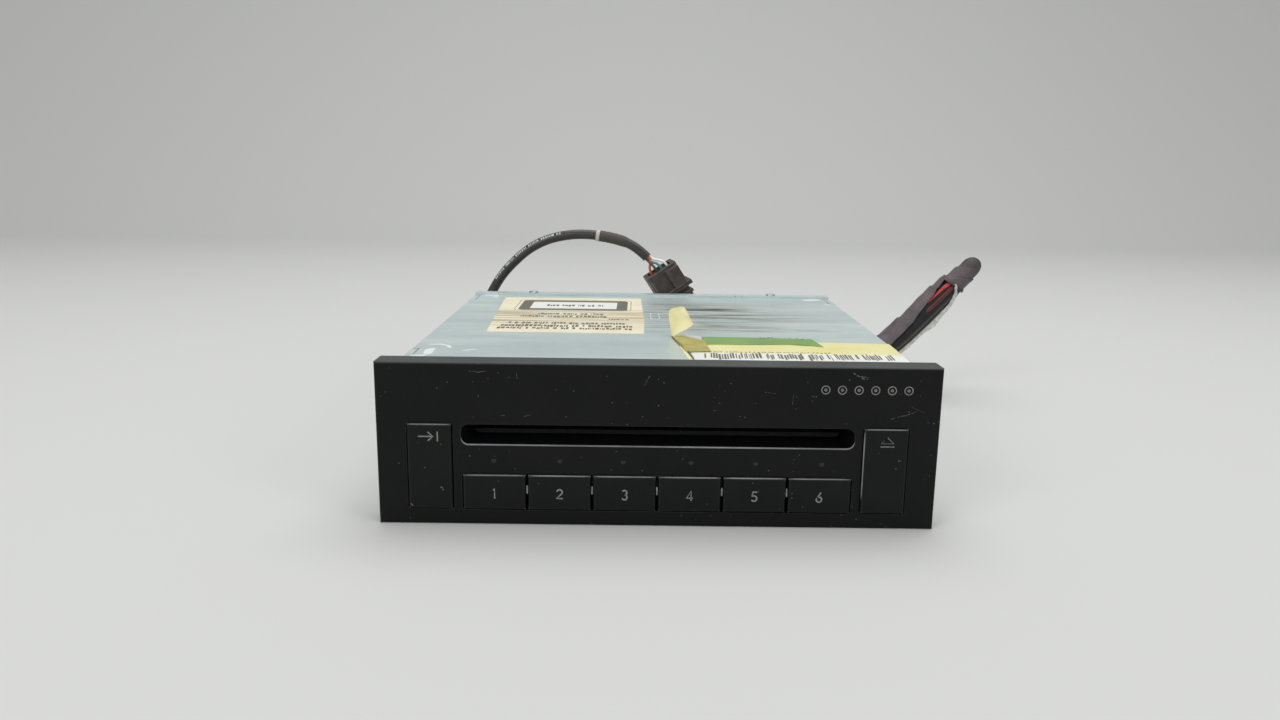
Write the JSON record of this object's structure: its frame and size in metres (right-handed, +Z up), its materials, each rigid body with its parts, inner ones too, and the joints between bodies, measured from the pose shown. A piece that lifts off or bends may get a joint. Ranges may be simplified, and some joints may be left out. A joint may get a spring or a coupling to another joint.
{
  "type": "car cd changer",
  "caption": "Single-slot car disc changer with load, eject and disc keys, a steel case, a swing-in play unit and a lift for its disc trays, and its cut wiring.",
  "frame": {"origin": "on the surface the changer stands on, midway between its sides and between the key faces and the rear panel", "axes": "+X to the right seen from the front, +Y towards the rear, +Z up"},
  "size_m": [0.2715, 0.208, 0.0857],
  "materials": {
    "bezel_plastic": "fine moulded grain, worn edges",
    "key_plastic": "satin moulded",
    "zinc_steel": "zinc-plated sheet, stained and scratched",
    "screw_steel": "plated",
    "board_green": "solder resist",
    "switch_black": "moulded",
    "felt": "short pile felt",
    "frame_steel": "plated sheet",
    "shaft_steel": "ground",
    "roller_rubber": "matt",
    "gear_white": "acetal",
    "guide_plastic": "moulded",
    "motor_can": "drawn can",
    "belt_rubber": "moulded",
    "tray_plastic": "moulded",
    "pinion_brass": "turned and cut",
    "screw_plastic": "acetal",
    "turntable_plastic": "moulded",
    "deck_metal": "die cast",
    "socket_plastic": "moulded nylon",
    "pin_metal": "tinned brass",
    "plug_plastic": "moulded nylon",
    "harness_tape": "cloth tape",
    "cable_jacket": "PVC jacket",
    "wire_jacket": "PVC"
  },
  "bodies": {
    "root": {"front_bezel": "bezel_plastic", "key_switches": "switch_black", "front_circuit_board": "board_green", "dust_felt": "felt", "lower_case": "zinc_steel", "top_cover": "zinc_steel", "rear_panel": "zinc_steel", "case_screws": "screw_steel", "roller_frame": "frame_steel", "loading_motor": "motor_can", "disc_guide": "guide_plastic", "lift_motor": "motor_can", "deck_pillars": "shaft_steel", "lift_belt": "belt_rubber", "deck_plate": "frame_steel", "swing_motor": "motor_can", "main_circuit_board": "board_green", "board_components": "switch_black", "rear_socket": "socket_plastic", "socket_pins": "pin_metal", "harness_plug": "plug_plastic", "power_bundle": "harness_tape", "signal_cable": "cable_jacket", "loose_connector": "plug_plastic", "connector_wires": "wire_jacket"},
    "loading_roller": {"roller_shaft": "shaft_steel", "roller_sleeves": "roller_rubber", "roller_gear": "gear_white"},
    "loading_idler": {"loading_idler": "gear_white"},
    "loading_pinion": {"loading_pinion": "pinion_brass"},
    "lift_pinion": {"lift_pinion": "pinion_brass"},
    "swing_arm": {"swing_sleeve": "gear_white", "clamp_arm": "frame_steel"},
    "clamp_puck": {"clamp_puck": "turntable_plastic"},
    "swing_pinion": {"swing_pinion": "pinion_brass"},
    "play_deck": {"play_deck": "deck_metal", "guide_rod": "shaft_steel", "feed_motor": "motor_can", "spindle_motor": "motor_can"},
    "feed_screw": {"feed_screw": "shaft_steel"},
    "turntable": {"turntable": "turntable_plastic"},
    "pickup_sled": {"pickup_sled": "turntable_plastic"},
    "load_key": {"load_key": "key_plastic"},
    "eject_key": {"eject_key": "key_plastic"},
    "disc_key_1": {"disc_key_1": "key_plastic"},
    "disc_tray_1": {"disc_tray_1": "tray_plastic"},
    "disc_key_2": {"disc_key_2": "key_plastic"},
    "disc_tray_2": {"disc_tray_2": "tray_plastic"},
    "disc_key_3": {"disc_key_3": "key_plastic"},
    "disc_tray_3": {"disc_tray_3": "tray_plastic"},
    "disc_key_4": {"disc_key_4": "key_plastic"},
    "disc_tray_4": {"disc_tray_4": "tray_plastic"},
    "disc_key_5": {"disc_key_5": "key_plastic"},
    "disc_tray_5": {"disc_tray_5": "tray_plastic"},
    "disc_key_6": {"disc_key_6": "key_plastic"},
    "disc_tray_6": {"disc_tray_6": "tray_plastic"},
    "lift_screw_front_left": {"lift_screw_front_left": "screw_plastic"},
    "lift_screw_front_right": {"lift_screw_front_right": "screw_plastic"},
    "lift_screw_rear_left": {"lift_screw_rear_left": "screw_plastic"},
    "lift_screw_rear_right": {"lift_screw_rear_right": "screw_plastic"}
  },
  "joints": [
    {"name": "load_key_press", "type": "slide", "parent": "root", "child": "load_key", "axis": [0, 1, 0], "range_m": [0, 0.0012], "stiffness_N_per_m": 600, "springref_m": -0.0012},
    {"name": "eject_key_press", "type": "slide", "parent": "root", "child": "eject_key", "axis": [0, 1, 0], "range_m": [0, 0.0012], "stiffness_N_per_m": 600, "springref_m": -0.0012},
    {"name": "disc_key_1_press", "type": "slide", "parent": "root", "child": "disc_key_1", "axis": [0, 1, 0], "range_m": [0, 0.0012], "stiffness_N_per_m": 600, "springref_m": -0.0012},
    {"name": "disc_key_2_press", "type": "slide", "parent": "root", "child": "disc_key_2", "axis": [0, 1, 0], "range_m": [0, 0.0012], "stiffness_N_per_m": 600, "springref_m": -0.0012},
    {"name": "disc_key_3_press", "type": "slide", "parent": "root", "child": "disc_key_3", "axis": [0, 1, 0], "range_m": [0, 0.0012], "stiffness_N_per_m": 600, "springref_m": -0.0012},
    {"name": "disc_key_4_press", "type": "slide", "parent": "root", "child": "disc_key_4", "axis": [0, 1, 0], "range_m": [0, 0.0012], "stiffness_N_per_m": 600, "springref_m": -0.0012},
    {"name": "disc_key_5_press", "type": "slide", "parent": "root", "child": "disc_key_5", "axis": [0, 1, 0], "range_m": [0, 0.0012], "stiffness_N_per_m": 600, "springref_m": -0.0012},
    {"name": "disc_key_6_press", "type": "slide", "parent": "root", "child": "disc_key_6", "axis": [0, 1, 0], "range_m": [0, 0.0012], "stiffness_N_per_m": 600, "springref_m": -0.0012},
    {"name": "roller_turn", "type": "hinge", "parent": "root", "child": "loading_roller", "pos_m": [0, -0.062, 0.0259], "axis": [1, 0, 0], "continuous": true},
    {"name": "idler_turn", "type": "hinge", "parent": "root", "child": "loading_idler", "pos_m": [0, -0.056, 0.01414], "axis": [1, 0, 0], "continuous": true},
    {"name": "loading_pinion_turn", "type": "hinge", "parent": "root", "child": "loading_pinion", "pos_m": [0, -0.0653, 0.01174], "axis": [1, 0, 0], "continuous": true},
    {"name": "stack_index", "type": "hinge", "parent": "root", "child": "lift_screw_front_right", "pos_m": [0.068, -0.042, 0], "axis": [0, 0, 1], "range_deg": [0, 360]},
    {"name": "screw_turn_front_left", "type": "hinge", "parent": "root", "child": "lift_screw_front_left", "pos_m": [-0.068, -0.042, 0], "axis": [0, 0, 1], "range_deg": [0, 360]},
    {"name": "screw_turn_rear_left", "type": "hinge", "parent": "root", "child": "lift_screw_rear_left", "pos_m": [-0.03, 0.081, 0], "axis": [0, 0, 1], "range_deg": [0, 360]},
    {"name": "screw_turn_rear_right", "type": "hinge", "parent": "root", "child": "lift_screw_rear_right", "pos_m": [0.03, 0.081, 0], "axis": [0, 0, 1], "range_deg": [0, 360]},
    {"name": "lift_pinion_turn", "type": "hinge", "parent": "root", "child": "lift_pinion", "pos_m": [0.0806, -0.042, 0], "axis": [0, 0, 1], "range_deg": [-901, 0]},
    {"name": "tray_1_slide", "type": "slide", "parent": "root", "child": "disc_tray_1", "axis": [0, 0, 1], "range_m": [-0.00215, 0]},
    {"name": "tray_2_slide", "type": "slide", "parent": "root", "child": "disc_tray_2", "axis": [0, 0, 1], "range_m": [-0.00215, 0]},
    {"name": "tray_3_slide", "type": "slide", "parent": "root", "child": "disc_tray_3", "axis": [0, 0, 1], "range_m": [-0.00215, 0]},
    {"name": "tray_4_slide", "type": "slide", "parent": "root", "child": "disc_tray_4", "axis": [0, 0, 1], "range_m": [-0.01715, 0]},
    {"name": "tray_5_slide", "type": "slide", "parent": "root", "child": "disc_tray_5", "axis": [0, 0, 1], "range_m": [-0.00775, 0]},
    {"name": "tray_6_slide", "type": "slide", "parent": "root", "child": "disc_tray_6", "axis": [0, 0, 1], "range_m": [-0.00215, 0]},
    {"name": "play_unit_swing", "type": "hinge", "parent": "root", "child": "swing_arm", "pos_m": [-0.0748, 0.075, 0], "axis": [0, 0, 1], "range_deg": [0, 53.67]},
    {"name": "swing_pinion_turn", "type": "hinge", "parent": "root", "child": "swing_pinion", "pos_m": [-0.06233, 0.0822, 0], "axis": [0, 0, 1], "range_deg": [-162.02, 0]},
    {"name": "play_deck_lift", "type": "slide", "parent": "swing_arm", "child": "play_deck", "axis": [0, 0, 1], "range_m": [0, 0.0036]},
    {"name": "puck_spin", "type": "hinge", "parent": "swing_arm", "child": "clamp_puck", "pos_m": [-0.0748, -0.01784, 0], "axis": [0, 0, 1], "continuous": true},
    {"name": "turntable_spin", "type": "hinge", "parent": "play_deck", "child": "turntable", "pos_m": [-0.0748, -0.01784, 0], "axis": [0, 0, 1], "continuous": true},
    {"name": "sled_feed", "type": "slide", "parent": "play_deck", "child": "pickup_sled", "axis": [0, 1, 0], "range_m": [0, 0.034]},
    {"name": "feed_screw_turn", "type": "hinge", "parent": "play_deck", "child": "feed_screw", "pos_m": [-0.0688, 0, 0.0208], "axis": [0, 1, 0], "range_deg": [0, 4085]}
  ],
  "couplings": [
    {"joint": "idler_turn", "follows": "roller_turn", "ratio": -1.2},
    {"joint": "loading_pinion_turn", "follows": "roller_turn", "ratio": 2},
    {"joint": "screw_turn_front_left", "follows": "stack_index", "ratio": 1},
    {"joint": "screw_turn_rear_left", "follows": "stack_index", "ratio": 1},
    {"joint": "screw_turn_rear_right", "follows": "stack_index", "ratio": 1},
    {"joint": "lift_pinion_turn", "follows": "stack_index", "ratio": -2.5},
    {"joint": "tray_1_slide", "follows": "stack_index", "m_per_rad": -0.00033423},
    {"joint": "tray_2_slide", "follows": "stack_index", "m_per_rad": -0.00033423},
    {"joint": "tray_3_slide", "follows": "stack_index", "m_per_rad": -0.00033423},
    {"joint": "tray_4_slide", "follows": "stack_index", "m_per_rad": -0.0027216},
    {"joint": "tray_5_slide", "follows": "stack_index", "m_per_rad": -0.0012255},
    {"joint": "tray_6_slide", "follows": "stack_index", "m_per_rad": -0.00033423},
    {"joint": "swing_pinion_turn", "follows": "play_unit_swing", "ratio": -3},
    {"joint": "feed_screw_turn", "follows": "sled_feed", "rad_per_m": 2094.4}
  ]
}
